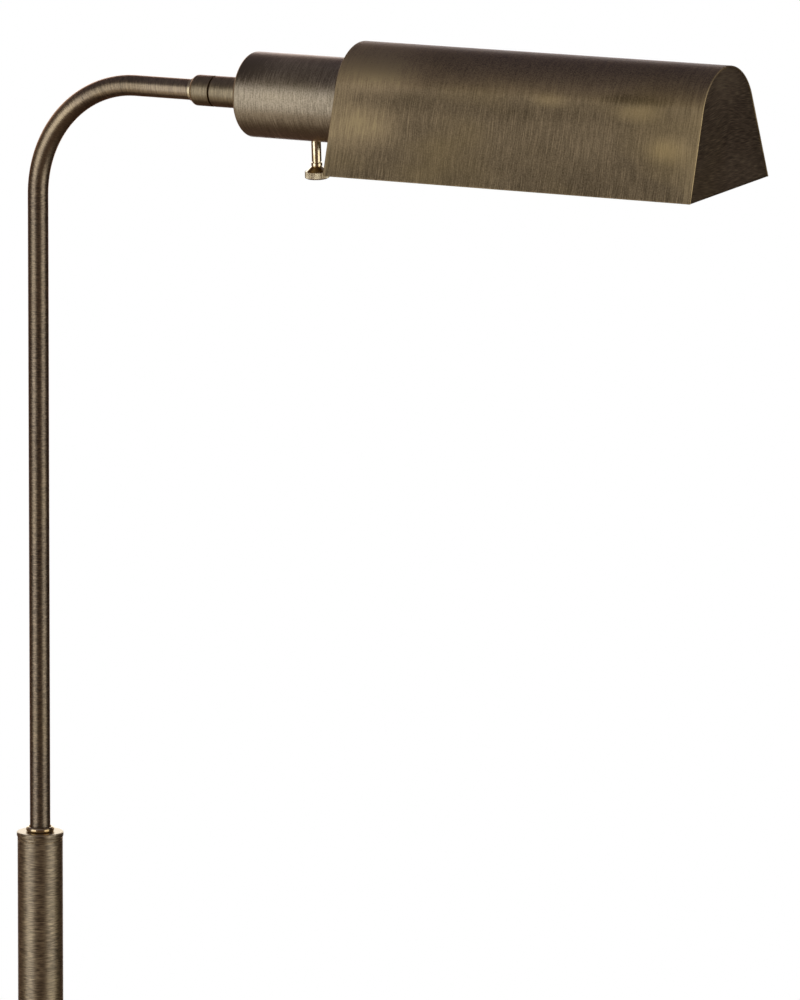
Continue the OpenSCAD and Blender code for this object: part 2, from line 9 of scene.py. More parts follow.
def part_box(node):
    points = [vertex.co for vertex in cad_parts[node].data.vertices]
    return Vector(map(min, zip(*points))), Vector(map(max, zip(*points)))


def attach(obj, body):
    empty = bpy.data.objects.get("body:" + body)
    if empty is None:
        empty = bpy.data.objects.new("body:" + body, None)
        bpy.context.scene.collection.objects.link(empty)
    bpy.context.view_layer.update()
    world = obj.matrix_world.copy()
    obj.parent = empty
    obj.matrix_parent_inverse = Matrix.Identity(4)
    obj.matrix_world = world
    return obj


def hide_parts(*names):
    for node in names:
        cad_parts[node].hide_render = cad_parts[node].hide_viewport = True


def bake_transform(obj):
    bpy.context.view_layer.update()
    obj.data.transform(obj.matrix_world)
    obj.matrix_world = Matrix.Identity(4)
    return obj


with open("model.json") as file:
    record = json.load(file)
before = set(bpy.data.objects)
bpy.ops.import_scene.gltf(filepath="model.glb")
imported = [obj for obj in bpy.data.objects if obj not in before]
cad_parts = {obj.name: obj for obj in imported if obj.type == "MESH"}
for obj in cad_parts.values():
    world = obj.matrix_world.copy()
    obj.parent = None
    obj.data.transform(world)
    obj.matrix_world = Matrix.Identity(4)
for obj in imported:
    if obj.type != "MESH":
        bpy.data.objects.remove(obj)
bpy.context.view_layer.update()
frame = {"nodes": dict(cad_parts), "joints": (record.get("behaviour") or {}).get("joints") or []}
nodes = frame["nodes"]
joints = {joint["name"]: joint for joint in frame["joints"]}
print("frame:", len(nodes), "nodes")

mm = 0.001  # lengths in the piece dictionaries are millimetres

# the arm's axis, the seam of its swivel, and the head's turn about it
armZ = joints["shade_swivel"]["pos_m"][2]
seamX = joints["shade_swivel"]["pos_m"][0] / mm
knobX = joints["knob_turn"]["pos_m"][0]
headRoll = math.asin(joints["knob_turn"]["axis"][1])

# places that pieces are made in: on the floor, at the arm's height, and with local Z along the arm or
# down the knob
onPost = Matrix.Identity(4)
atArm = Matrix.Translation((0, 0, armZ))
alongArm = atArm @ Matrix.Rotation(math.pi / 2, 4, "Y")
downKnob = atArm @ Matrix.Translation((knobX, 0, 0)) @ Matrix.Rotation(headRoll + math.pi, 4, "X")

# camera, fitted to the tube, the swivel, the cup and the corners of the shade: angles in degrees, lens
# and sensor in millimetres, the rest in metres, and the aim's height counted from the arm
cameraView = dict(
    azimuth=30.5, elevation=9.44, roll=0.24, lens=288, sensor=36, distance=3.785,
    aim=(0.20368, 0, -0.18807), far=100,
)


def makeCamera(c):
    azimuth = math.radians(c["azimuth"])
    elevation = math.radians(c["elevation"])
    back = Vector((
        math.sin(azimuth) * math.cos(elevation),
        -math.cos(azimuth) * math.cos(elevation),
        math.sin(elevation),
    ))
    data = bpy.data.cameras.new("camera")
    data.sensor_width = c["sensor"]
    data.lens = c["lens"]
    data.clip_end = c["far"]
    camera = bpy.data.objects.new("camera", data)
    bpy.context.scene.collection.objects.link(camera)
    turn = (-back).to_track_quat("-Z", "Y").to_matrix().to_4x4()
    turn = turn @ Matrix.Rotation(math.radians(c["roll"]), 4, "Z")
    camera.rotation_mode = "QUATERNION"
    camera.rotation_quaternion = turn.to_quaternion()
    camera.location = Vector(c["aim"]) + Vector((0, 0, armZ)) + back * c["distance"]
    bpy.context.scene.camera = camera


makeCamera(cameraView)
print("camera done")


# a shader socket that can be used in sums
class Wire:
    def __init__(self, tree, socket=None):
        self.tree = tree
        self.socket = socket

    def make(self, kind, settings=None, plugs=None, out=0):
        node = self.tree.nodes.new("ShaderNode" + kind)
        for key, value in (settings or {}).items():
            setattr(node, key, value)
        for key, value in (plugs or {}).items():
            if isinstance(value, Wire):
                self.tree.links.new(value.socket, node.inputs[key])
            else:
                node.inputs[key].default_value = value
        return Wire(self.tree, node.outputs[out]) if len(node.outputs) else None

    def also(self, out):
        return Wire(self.tree, self.socket.node.outputs[out])

    def sum(self, operation, a, b):
        return self.make("Math", {"operation": operation}, {0: a, 1: b})

    def __add__(self, other):
        return self.sum("ADD", self, other)

    def __radd__(self, other):
        return self.sum("ADD", other, self)

    def __sub__(self, other):
        return self.sum("SUBTRACT", self, other)

    def __rsub__(self, other):
        return self.sum("SUBTRACT", other, self)

    def __mul__(self, other):
        return self.sum("MULTIPLY", self, other)

    def __rmul__(self, other):
        return self.sum("MULTIPLY", other, self)

    def vector(self, operation, other, out=0):
        return self.make("VectorMath", {"operation": operation}, {0: self, 1: other}, out)

    def length(self):
        return self.make("VectorMath", {"operation": "LENGTH"}, {0: self}, "Value")

    def between(self, low, high):
        return self.make("MapRange", {"clamp": True}, {"Value": self, "From Min": low, "From Max": high})

    def soft(self, low, high):
        settings = {"clamp": True, "interpolation_type": "SMOOTHSTEP"}
        return self.make("MapRange", settings, {"Value": self, "From Min": low, "From Max": high})

    def blend(self, low, high):
        return self.make("Mix", {"data_type": "RGBA"}, {0: self, 6: paint(low), 7: paint(high)}, 2)

    def noise(self, scale, detail=2.0, roughness=0.5):
        plugs = {"Vector": self, "Scale": scale, "Detail": detail, "Roughness": roughness}
        return self.make("TexNoise", {}, plugs)

    def cloudy(self, scale):
        return self.noise(scale, 3, 0.6)

    # noise runs about a half
    def centred(self):
        return self - 0.5

    def bump(self, strength, distance):
        return self.make("Bump", {}, {"Strength": strength, "Distance": distance, "Height": self})


def paint(colour):
    return colour if isinstance(colour, Wire) else (*colour, 1)


def startMaterial(name):
    material = bpy.data.materials.new(name)
    material.use_nodes = True
    material.node_tree.nodes.clear()
    return material, Wire(material.node_tree)


# brushed antique brass: its colours, the scales of its noises, and how far they move the tone, the wear,
# the roughness and the relief
antiqueBrass = dict(
    dark=(0.115, 0.077, 0.028), light=(0.450, 0.336, 0.168), pale=(0.62, 0.49, 0.235), paleSpan=0.7,
    gold=(0.45, 0.33, 0.125), goldSpan=(0.72, 1.3), goldTop=1.5, goldFrom=(0.5, 0.7), goldShare=0.45,
    worn=(0.52, 0.38, 0.18), wornLeast=0.55, wornWide=0.5, wornCloud=0.4, wornSpan=(0.35, 1.0),
    speck=1500, cloud=48, patch=15, goldPatch=27, wave=34, waver=28, stretch=(1, 1, 0.5),
    streakSpan=(0.22, 0.78), wideRun=0.3, hairLevel=0.29, hairTone=1.2, tone=0.5, wideTone=0.2,
    cloudTone=0.35, patchTone=0.5, wearAndLightTone=0.5, wearAndLightEdge=(1.3, 0.1), wearAndLightLeast=0.5,
    roughness=0.46, fineRough=0.1, patchRough=0.12, wornRough=0.1, coatRough=0.34,
    relief=0.0026, hairline=0.008, fineHigh=0.6, wideHigh=0.4, shineTurn=0.25,
)

# how the brass pieces differ: shade is a share of the colours, rough is added to the roughness, coat is
# the lacquer, rim tints the shine at grazing angles, grain, fine, wide and run are the hairlines'
# strength, closeness and shortness, speck a fine mottle, pull how far the shine is drawn out, dent how
# wavy the sheet is, sway how far the brushing wanders
usualBrush = dict(rough=0, fine=2900, wide=1200, pull=0.3, dent=0, sway=0.002)
brassPieces = dict(
    brushedBrass=dict(
        usualBrush, shade=(1.13, 1.2, 1.5), coat=0.6, rim=(0.85, 0.64, 0.56), grain=0.6, run=150, speck=0.8,
    ),
    brushedSwivel=dict(
        usualBrush, shade=(0.815, 0.818, 0.83), coat=0.6, rim=(1, 0.6, 0.45), grain=0.7, run=190, speck=0.6,
    ),
    brushedPost=dict(
        usualBrush, shade=(0.83, 0.81, 0.86), rough=0.03, coat=0.75, rim=(1, 0.8, 0.66), grain=1.5,
        run=260, speck=0.2, pull=0.35,
    ),
    brushedBase=dict(
        usualBrush, shade=(0.9, 0.89, 0.88), rough=-0.04, coat=0.9, rim=(1, 0.9, 0.85), grain=1.0,
        fine=1900, wide=230, run=26, speck=0.2, pull=0.65, sway=0.001,
    ),
    brushedTube=dict(
        usualBrush, shade=(0.53, 0.495, 0.54), rough=-0.10, coat=0.7, rim=(1, 0.58, 0.36), grain=1.4,
        fine=3600, run=520, speck=0.9, pull=0,
    ),
    brushedSheet=dict(
        usualBrush, shade=(0.815, 0.782, 0.775), rough=0.13, coat=0.2, rim=(1, 0.88, 0.88), grain=0.72,
        run=120, speck=0.9, dent=0.25, sway=0.004,
    ),
    brushedPlate=dict(
        usualBrush, shade=(0.45, 0.45, 0.55), rough=0.08, coat=0.3, rim=(1, 0.88, 0.88), grain=1.3,
        run=170, speck=0.3, dent=0.1, sway=0.010,
    ),
)

# the shade's sheet: over its crown the hairlines calm down, the mottle grows and the tone is painted cooler,
# a painted reflection of the bluish light above; lower down it is darker, and strongly lightened patches show
# more hairlines
sheetFade = dict(
    crown=(-12, -24), calm=0.4, grit=1.8, paintedSkyShare=0.4, paintedSkyTone=(0.17, 0.122, 0.084), lower=(0, 30),
    deep=0.27, hairyFrom=1, hairyGain=1.0,
)

# patches that change the brass's tone: gold patina and paler patches, and also painted highlights and painted
# shade, each noted where it stands; place and reach in the piece's own millimetres, then the change of tone
# and of gold
wearAndLightPatches = dict(
    brushedSheet=(
        ((7, -30, 196), (12, 20, 26), 1.7, 0.4),
        ((-10, -25, 298), (3.5, 20, 12), 0.5, 0.6),
        ((-7, -26, 345), (5, 20, 14), 0.75, 0.7),
        ((8, -30, 362), (7, 20, 12), 1.2, 0.7),
        ((-20, -14, 198), (16, 28, 30), 3.0, 0),
        # painted highlight along the band where the crown turns into the side
        ((-18, -18, 290), (7, 20, 140), 0.65, 0),
        ((-13, -23, 342), (3.5, 20, 20), -0.9, 0),
        # painted shade on the side just below that band
        ((-5, -27, 280), (6, 20, 100), -0.35, 0),
    ),
    brushedPlate=(
        ((376, -4, 24), (40, 20, 16), 1.0, 0),
        ((376, 14, -20), (40, 24, 12), 0.7, 0),
    ),
    brushedBrass=(
        # painted shade along the top of the cup
        ((-16, -10, 126), (10, 16, 17), -1.1, 0),
        ((-13, -15, 150), (8, 14, 70), -0.4, 0),
    ),
    brushedTube=(
        # painted highlights: the tube's bend and its level end are painted paler where the light falls on
        # them
        ((11, 0, armZ / mm - 24), (26, 20, 30), 1.8, 0.2),
        ((80, 0, armZ / mm), (20, 20, 16), 1.1, 0),
    ),
)


def metres(lengths):
    return [length * mm for length in lengths]


# slow along the brushing, quick across it
def streaks(wire, place, across, quick, slow, span):
    shift = wire.make("CombineXYZ", {}, {2: across * quick})
    grain = wire.make("VectorMath", {"operation": "SCALE"}, {0: place, "Scale": slow})
    return grain.vector("ADD", shift).noise(1, 1).between(*span)


# the UV map "brush" holds the distance across the brushing, and how worn an edge is; on the shade it also
# carries a painted highlight along the near rims
def makeBrass(name, b, piece, patches, fade=None):
    material, wire = startMaterial(name)
    tones = [[c * k for c, k in zip(b[key], piece["shade"])] for key in ("dark", "light", "pale", "gold")]
    dark, light, pale, goldTone = tones
    deepGold, brightGold = ([c * share for c in goldTone] for share in b["goldSpan"])
    place = wire.make("TexCoord", {}, {}, "Object")
    drawn = place.vector("MULTIPLY", b["stretch"])
    across = wire.make("SeparateXYZ", {}, {0: wire.make("UVMap", {"uv_map": "brush"})})
    edge = across.also(1)
    line = across + piece["sway"] * place.noise(b["waver"], 1).centred()
    fine = streaks(wire, place, line, piece["fine"], piece["run"], b["streakSpan"])
    wide = streaks(wire, place, line, piece["wide"], piece["run"] * b["wideRun"], b["streakSpan"])
    cloud = drawn.cloudy(b["cloud"])
    patch = drawn.cloudy(b["patch"])
    gold = drawn.noise(b["goldPatch"], 2).between(*b["goldFrom"])
    speck = place.noise(b["speck"], 1).centred()
    hairs = piece["grain"] * (fine * fine - b["hairLevel"])
    tone = b["tone"] + b["wideTone"] * wide.centred() + b["cloudTone"] * cloud.centred()
    tone = tone + b["patchTone"] * patch.centred() + piece["speck"] * speck
    # each patch shifts the tone: gold patina and paler patches, and also painted highlights and painted shade
    for spot, reach, wearAndLightShift, golden in patches:
        away = place.vector("SUBTRACT", metres(spot)).vector("DIVIDE", metres(reach)).length()
        mark = away.soft(*b["wearAndLightEdge"]) * (b["wearAndLightLeast"] + cloud)
        tone += b["wearAndLightTone"] * wearAndLightShift * mark
        if fade and wearAndLightShift > fade["hairyFrom"]:
            hairs *= 1 + fade["hairyGain"] * mark
        if golden:
            gold += golden * mark
    if fade:
        down = wire.make("SeparateXYZ", {}, {0: place})  # the shade's local X points down
        crown = down.between(*metres(fade["crown"]))
        hairs *= 1 - fade["calm"] * crown
        tone += fade["grit"] * crown * speck
        tone -= fade["deep"] * down.between(*metres(fade["lower"]))
    tone += b["hairTone"] * hairs
    worn = edge * (b["wornLeast"] + b["wornWide"] * wide + b["wornCloud"] * cloud)
    worn = worn.between(*b["wornSpan"])
    patinaAndPaintedLight = (tone - 1).between(0, b["paleSpan"]).blend(tone.between(0, 1).blend(dark, light), pale)
    richGold = tone.between(0, b["goldTop"]).blend(deepGold, brightGold)
    patinaAndPaintedLight = (b["goldShare"] * gold).blend(patinaAndPaintedLight, richGold)
    if fade:
        # painted reflection: the crown's tone is cooled towards the bluish light above it
        patinaAndPaintedLight = (fade["paintedSkyShare"] * crown).blend(patinaAndPaintedLight, fade["paintedSkyTone"])
    rough = b["roughness"] + piece["rough"] + b["fineRough"] * fine.centred()
    rough = rough - b["patchRough"] * patch.centred() - b["wornRough"] * worn
    height = b["hairline"] * (b["fineHigh"] * fine + b["wideHigh"] * wide)
    height += piece["dent"] * drawn.noise(b["wave"], 1)
    surface = wire.make("BsdfPrincipled", {}, {
        "Base Color": worn.blend(patinaAndPaintedLight, b["worn"]), "Metallic": 1.0, "Roughness": rough,
        "Normal": height.bump(1, b["relief"]), "Anisotropic": piece["pull"],
        "Anisotropic Rotation": b["shineTurn"], "Specular Tint": paint(piece["rim"]),
        "Coat Weight": piece["coat"], "Coat Roughness": b["coatRough"],
    })
    wire.make("OutputMaterial", {}, {"Surface": surface})
    return material


# smooth brass, and how it differs: bright, satin or darkened by age
smoothBrass = dict(
    cloud=150, cloudSpan=(0.3, 0.7), cloudRough=0.12, scratch=2600, scratchRough=0.06, scratchDeep=0.05,
    relief=0.0001,
)
smoothPieces = dict(
    polishedBrass=dict(dark=(0.50, 0.35, 0.15), light=(0.87, 0.75, 0.50), roughness=0.17),
    satinBrass=dict(dark=(0.44, 0.34, 0.19), light=(0.62, 0.51, 0.33), roughness=0.34),
    agedBrass=dict(dark=(0.36, 0.235, 0.10), light=(0.70, 0.56, 0.34), roughness=0.19),
)


def makeSmoothBrass(name, b, piece):
    material, wire = startMaterial(name)
    place = wire.make("TexCoord", {}, {}, "Object")
    cloud = place.cloudy(b["cloud"])
    scratch = place.noise(b["scratch"], 2)
    rough = piece["roughness"] + b["cloudRough"] * cloud.centred() + b["scratchRough"] * scratch.centred()
    surface = wire.make("BsdfPrincipled", {}, {
        "Base Color": cloud.between(*b["cloudSpan"]).blend(piece["dark"], piece["light"]),
        "Metallic": 1.0, "Roughness": rough, "Normal": scratch.bump(b["scratchDeep"], b["relief"]),
    })
    wire.make("OutputMaterial", {}, {"Surface": surface})
    return material


# plain finishes: two tones of a grain, its scale, roughness, metal, and the grain's relief
plainGrain = dict(coarser=12, fineShare=0.6, coarseShare=0.4, span=(0.3, 0.7), spread=0.18, reach=0.0003)
plainFinishes = dict(
    castIron=dict(
        dark=(0.030, 0.030, 0.032), light=(0.085, 0.083, 0.082), grain=420, rough=0.62, metal=0.6, relief=0.5,
    ),
    zincSteel=dict(
        dark=(0.42, 0.43, 0.45), light=(0.66, 0.67, 0.68), grain=700, rough=0.32, metal=1.0, relief=0.06,
    ),
    feltPad=dict(
        dark=(0.010, 0.013, 0.011), light=(0.050, 0.058, 0.048), grain=1500, rough=0.95, metal=0.0,
        relief=0.8,
    ),
    nylon=dict(
        dark=(0.66, 0.64, 0.57), light=(0.80, 0.79, 0.73), grain=160, rough=0.42, metal=0.0, relief=0.05,
    ),
    rubber=dict(
        dark=(0.010, 0.010, 0.010), light=(0.028, 0.027, 0.026), grain=900, rough=0.62, metal=0.0, relief=0.2,
    ),
    phenolic=dict(
        dark=(0.014, 0.011, 0.009), light=(0.038, 0.030, 0.024), grain=240, rough=0.30, metal=0.0,
        relief=0.05,
    ),
    pressedAlloy=dict(
        dark=(0.56, 0.57, 0.59), light=(0.78, 0.78, 0.80), grain=500, rough=0.26, metal=1.0, relief=0.05,
    ),
    opalGlass=dict(
        dark=(0.80, 0.80, 0.77), light=(0.88, 0.88, 0.86), grain=900, rough=0.34, metal=0.0, relief=0.04,
    ),
    leadSheath=dict(
        dark=(0.60, 0.57, 0.47), light=(0.72, 0.70, 0.60), grain=300, rough=0.48, metal=0.0, relief=0.06,
    ),
)


def makePlain(name, g, p):
    material, wire = startMaterial(name)
    place = wire.make("TexCoord", {}, {}, "Object")
    grain = place.cloudy(p["grain"])
    cloud = place.cloudy(p["grain"] / g["coarser"])
    tone = (g["fineShare"] * grain + g["coarseShare"] * cloud).between(*g["span"])
    surface = wire.make("BsdfPrincipled", {}, {
        "Base Color": tone.blend(p["dark"], p["light"]), "Metallic": p["metal"],
        "Roughness": p["rough"] + g["spread"] * cloud.centred(),
        "Normal": grain.bump(p["relief"], g["reach"]),
    })
    wire.make("OutputMaterial", {}, {"Surface": surface})
    return material


finishes = {name: makePlain(name, plainGrain, p) for name, p in plainFinishes.items()}
for name, piece in brassPieces.items():
    fade = sheetFade if name == "brushedSheet" else None
    finishes[name] = makeBrass(name, antiqueBrass, piece, wearAndLightPatches.get(name, ()), fade)
for name, piece in smoothPieces.items():
    finishes[name] = makeSmoothBrass(name, smoothBrass, piece)
print("finishes:", len(finishes))


# corners (across, along, rounding) into points (across, along, wear): wear is 1 on the middle of a
# rounded edge
def rounded(corners, steps=6):
    points = []
    count = len(corners)
    area = sum(
        corners[i - 1][0] * corners[i][1] - corners[i][0] * corners[i - 1][1] for i in range(count)
    )
    for i, (x, y, radius) in enumerate(corners):
        here = Vector((x, y))
        before = (Vector(corners[i - 1][:2]) - here).normalized()
        after = (Vector(corners[(i + 1) % count][:2]) - here).normalized()
        if radius == 0:
            points.append((x, y, 0))
            continue
        half = before.angle(after) / 2
        centre = here + (before + after).normalized() * radius / math.sin(half)
        start = here + before * radius / math.tan(half) - centre
        end = here + after * radius / math.tan(half) - centre
        outward = area * (after.x * before.y - after.y * before.x) > 0
        for k in range(steps + 1):
            spoke = start.lerp(end, k / steps).normalized() * radius
            points.append((*(centre + spoke), math.sin(math.pi * k / steps) if outward else 0))
    return points


def pathLengths(points):
    lengths = [0.0]
    for a, b in zip(points, points[1:]):
        lengths.append(lengths[-1] + math.dist(a, b))
    return lengths


crispAngle = math.radians(35)  # edges sharper than this stay crisp


def meshPiece(name, bm, place, body, node, finish):
    bmesh.ops.recalc_face_normals(bm, faces=bm.faces)
    for edge in bm.edges:
        edge.smooth = len(edge.link_faces) == 2 and edge.calc_face_angle() < crispAngle
    for face in bm.faces:
        face.smooth = True
    mesh = bpy.data.meshes.new(name)
    bm.to_mesh(mesh)
    bm.free()
    mesh.materials.append(finishes[finish])
    piece = bpy.data.objects.new(name, mesh)
    bpy.context.scene.collection.objects.link(piece)
    piece.matrix_world = place
    if body:
        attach(piece, body)
    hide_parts(node)
    return piece


# a turned piece: a closed outline (radius, height, wear) goes round the local Z axis, and cut may change
# a point
def turned(name, outline, place, body, node, finish, steps=128, cut=None):
    bm = bmesh.new()
    brush = bm.loops.layers.uv.new("brush")
    lengths = pathLengths([point[:2] for point in outline + outline[:1]])
    rings = []
    for radius, height, worn in outline:
        if radius == 0:
            rings.append([bm.verts.new((0, 0, height * mm))])
            continue
        ring = []
        for k in range(steps):
            angle = 2 * math.pi * k / steps
            r, h = cut(angle, radius, height) if cut else (radius, height)
            ring.append(bm.verts.new((r * mm * math.cos(angle), r * mm * math.sin(angle), h * mm)))
        rings.append(ring)
    for i, ring in enumerate(rings):
        nextRing = rings[(i + 1) % len(rings)]
        if len(ring) == 1 and len(nextRing) == 1:
            continue
        here = (lengths[i] * mm, outline[i][2])
        there = (lengths[i + 1] * mm, outline[(i + 1) % len(outline)][2])
        for k in range(steps):
            n = (k + 1) % steps
            near = ring if len(ring) == 1 else [ring[k], ring[n]]
            far = nextRing if len(nextRing) == 1 else [nextRing[n], nextRing[k]]
            face = bm.faces.new(near + far)
            for loop, uv in zip(face.loops, [here] * len(near) + [there] * len(far)):
                loop[brush].uv = uv
    return meshPiece(name, bm, place, body, node, finish)


# a round rod along a route of points, or a pipe if it has a bore
def drawnOut(route, radius, sides, bore=0):
    bm = bmesh.new()
    brush = bm.loops.layers.uv.new("brush")
    lengths = pathLengths(route)
    turns = [2 * math.pi * k / sides for k in range(sides)]
    skins = []
    for r in (radius, bore) if bore else (radius,):
        rings = []
        for i, point in enumerate(route):
            ahead = (route[min(i + 1, len(route) - 1)] - route[max(i - 1, 0)]).normalized()
            up = Vector((0, 1, 0)).cross(ahead).normalized()
            side = ahead.cross(up)
            spokes = [r * (math.cos(t) * up + math.sin(t) * side) for t in turns]
            rings.append([bm.verts.new((point + spoke) * mm) for spoke in spokes])
        for i in range(len(rings) - 1):
            along = (lengths[i], lengths[i], lengths[i + 1], lengths[i + 1])
            for k in range(sides):
                n = (k + 1) % sides
                face = bm.faces.new([rings[i][k], rings[i][n], rings[i + 1][n], rings[i + 1][k]])
                for loop, s in zip(face.loops, along):
                    loop[brush].uv = (s * mm, 0)
        skins.append(rings)
    for end in (0, -1):
        outer = skins[0][end]
        if not bore:
            bm.faces.new(outer)
            continue
        inner = skins[1][end]
        for k in range(sides):
            n = (k + 1) % sides
            bm.faces.new([outer[k], outer[n], inner[n], inner[k]])
    return bm


def ringOutline(inner, outer, low, high, soft):
    return rounded([(inner, low, 0), (outer, low, soft), (outer, high, soft), (inner, high, 0)])


# a round hole cut through a piece with a straight bar
def cutWithBar(piece, radius, place, length):
    bm = bmesh.new()
    bmesh.ops.create_cone(
        bm, cap_ends=True, segments=64, radius1=radius * mm, radius2=radius * mm, depth=length * mm,
        matrix=place,
    )
    mesh = bpy.data.meshes.new("bar")
    bm.to_mesh(mesh)
    bm.free()
    bar = bpy.data.objects.new("bar", mesh)
    bpy.context.scene.collection.objects.link(bar)
    hole = piece.modifiers.new("hole", "BOOLEAN")
    hole.operation = "DIFFERENCE"
    hole.solver = "EXACT"
    hole.object = bar
    bpy.context.view_layer.update()
    cut = bpy.data.meshes.new_from_object(piece.evaluated_get(bpy.context.evaluated_depsgraph_get()))
    piece.modifiers.clear()
    piece.data = cut
    bpy.data.objects.remove(bar)


# a second finish on the faces past a height
def finishBeyond(piece, height, finish):
    piece.data.materials.append(finishes[finish])
    for face in piece.data.polygons:
        if face.center.z > height * mm:
            face.material_index = 1


def softenEdges(piece, width):
    bevel = piece.modifiers.new("soft edges", "BEVEL")
    bevel.width = width * mm
    bevel.segments = 2
    bevel.limit_method = "ANGLE"
    bevel.angle_limit = math.radians(40)


# base
low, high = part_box("base_cover")
baseCover = dict(
    radius=high.x / mm, top=high.z / mm, low=low.z / mm, sheet=1.5, edge=9, rim=0.4, wear=0.3, hole=5.4,
    inlet=4.95, cut=16, arc=14, sides=256,
)
low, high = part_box("cord_bushing")
cordBushing = dict(
    out=low.x / mm, inward=high.x / mm, height=(low.z + high.z) / 2 / mm, bore=3.6, shank=4.9, flange=6.5,
    thick=2.5, mouth=0.6, edge=0.9, back=0.2, tip=0.4, tipMouth=0.3, sides=64,
)


def inletPlace(x):
    return Matrix.Translation((x * mm, 0, cordBushing["height"] * mm)) @ Matrix.Rotation(math.pi / 2, 4, "Y")


def makeBaseCover(b):
    inner = b["radius"] - b["sheet"]
    roof = b["top"] - b["sheet"]
    outline = rounded([
        (b["hole"], b["top"], 0), (b["radius"], b["top"], b["edge"]), (b["radius"], b["low"], b["rim"]),
        (inner, b["low"], b["rim"]), (inner, roof, b["edge"] - b["sheet"]), (b["hole"], roof, 0),
    ], b["arc"])
    outline = [(r, h, worn * b["wear"]) for r, h, worn in outline]  # a wide rounding wears little
    cover = turned(
        "baseCover", outline, onPost, "base", "base_cover", "brushedBase", b["sides"],
    )
    cutWithBar(cover, b["inlet"], inletPlace(-b["radius"]), b["cut"])


def makeCordBushing(c):
    reach = c["inward"] - c["out"]
    outline = rounded([
        (c["bore"], 0, c["mouth"]), (c["flange"], 0, c["edge"]), (c["flange"], c["thick"], c["back"]),
        (c["shank"], c["thick"], 0), (c["shank"], reach, c["tip"]), (c["bore"], reach, c["tipMouth"]),
    ])
    place = inletPlace(c["out"])
    turned("cordBushing", outline, place, "base", "cord_bushing", "rubber", c["sides"])


makeBaseCover(baseCover)
makeCordBushing(cordBushing)

low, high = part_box("post_foot")
postFoot = dict(
    radius=high.x / mm, low=low.z / mm, high=high.z / mm, bore=11.15, cove=6, arc=11, foot=0.3, brow=0.6,
    lip=0.5,
)


def makePostFoot(p):
    brow = p["high"] - p["cove"]
    corners = [(p["bore"], p["low"], 0), (p["radius"], p["low"], p["foot"]), (p["radius"], brow, p["brow"])]
    for k in range(p["arc"] - 1, 0, -1):
        angle = math.pi / 2 * k / p["arc"]
        across = p["radius"] - p["cove"] * math.cos(angle)
        corners.append((across, p["high"] - p["cove"] * math.sin(angle), 0))
    corners += [(p["radius"] - p["cove"], p["high"], p["lip"]), (p["bore"], p["high"], 0)]
    turned("postFoot", rounded(corners), onPost, "base", "post_foot", "brushedPost")


makePostFoot(postFoot)

low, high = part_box("base_pad")
basePad = dict(radius=high.x / mm, thick=high.z / mm, soft=0.8, sides=192)


def makeBasePad(p):
    outline = ringOutline(0, p["radius"], 0, p["thick"], p["soft"])
    turned("basePad", outline, onPost, "base", "base_pad", "feltPad", p["sides"])


makeBasePad(basePad)
print("base done")

# post, with the collar and bead ring on its top
low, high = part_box("lower_post")
lowerPost = dict(low=low.z / mm, high=high.z / mm, radius=11.1125, bore=9.9125, edge=0.2)


def makePost(p):
    outline = ringOutline(p["bore"], p["radius"], p["low"], p["high"], p["edge"])
    turned("lowerPost", outline, onPost, "base", "lower_post", "brushedPost")


makePost(lowerPost)

# the collar's spigot fits in the post, and its top is faced smooth
low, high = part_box("post_collar")
collar = dict(
    top=high.z / mm, low=low.z / mm, lip=11.45, lipHigh=2.2, groove=0.35, grooveDeep=0.25, bore=5.4,
    bushBore=6.5, roof=1.2, fit=0.03, mouth=0.2, brow=0.5, under=0.3, edge=0.15, tip=0.3, faced=0.3,
)


def makeCollar(c):
    side = lowerPost["radius"]
    seat = lowerPost["high"]
    spigot = lowerPost["bore"] - c["fit"]
    lipLow = c["top"] - c["lipHigh"]
    grooveLow = lipLow - c["groove"]
    grooveIn = side - c["grooveDeep"]
    roof = c["top"] - c["roof"]
    outline = rounded([
        (c["bore"], c["top"], c["mouth"]), (c["lip"], c["top"], c["brow"]), (c["lip"], lipLow, c["under"]),
        (grooveIn, lipLow, 0), (grooveIn, grooveLow, 0), (side, grooveLow, c["edge"]),
        (side, seat, c["edge"]), (spigot, seat, 0), (spigot, c["low"], c["tip"]),
        (c["bushBore"], c["low"], 0), (c["bushBore"], roof, 0), (c["bore"], roof, 0),
    ])
    piece = turned("postCollar", outline, onPost, "base", "post_collar", "brushedPost")
    # the faced top takes the lighter satin finish: partly bare faced brass, partly painted light for the
    # bright light that the top catches
    finishBeyond(piece, c["top"] - c["faced"], "satinBrass")


makeCollar(collar)

low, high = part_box("collar_ring")
collarRing = dict(
    low=low.z / mm, high=high.z / mm, outer=6.95, bore=5.4, foot=1.0, crown=1.2, mouth=0.35, arc=8,
)


def makeCollarRing(c):
    outline = rounded([
        (c["bore"], c["low"], 0), (c["outer"], c["low"], c["foot"]), (c["outer"], c["high"], c["crown"]),
        (c["bore"], c["high"], c["mouth"]),
    ], c["arc"])
    turned("collarRing", outline, onPost, "base", "collar_ring", "agedBrass")


makeCollarRing(collarRing)

# slack lead in the post: loose turns that open and close as the arm slides, then out along the base to
# the inlet. out has each point's place along the base, and its share of the rise to the inlet
low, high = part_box("post_lead")
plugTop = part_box("post_plug")[1].z / mm
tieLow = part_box("base_nipple")[0].z / mm
postLead = dict(
    radius=1.6, sides=12, top=high.z / mm, drop=6, turnsLow=plugTop + 20, plug=plugTop, tie=tieLow + 8,
    coil=4.2, turns=5, swell=8, steps=120, bend=7.04, arc=12, run=tieLow - 6.04,
    out=((-23, 0), (-46, 0), (-91, 0.15), (-103, 0.85), (-111, 1), (-115, 1)),
)


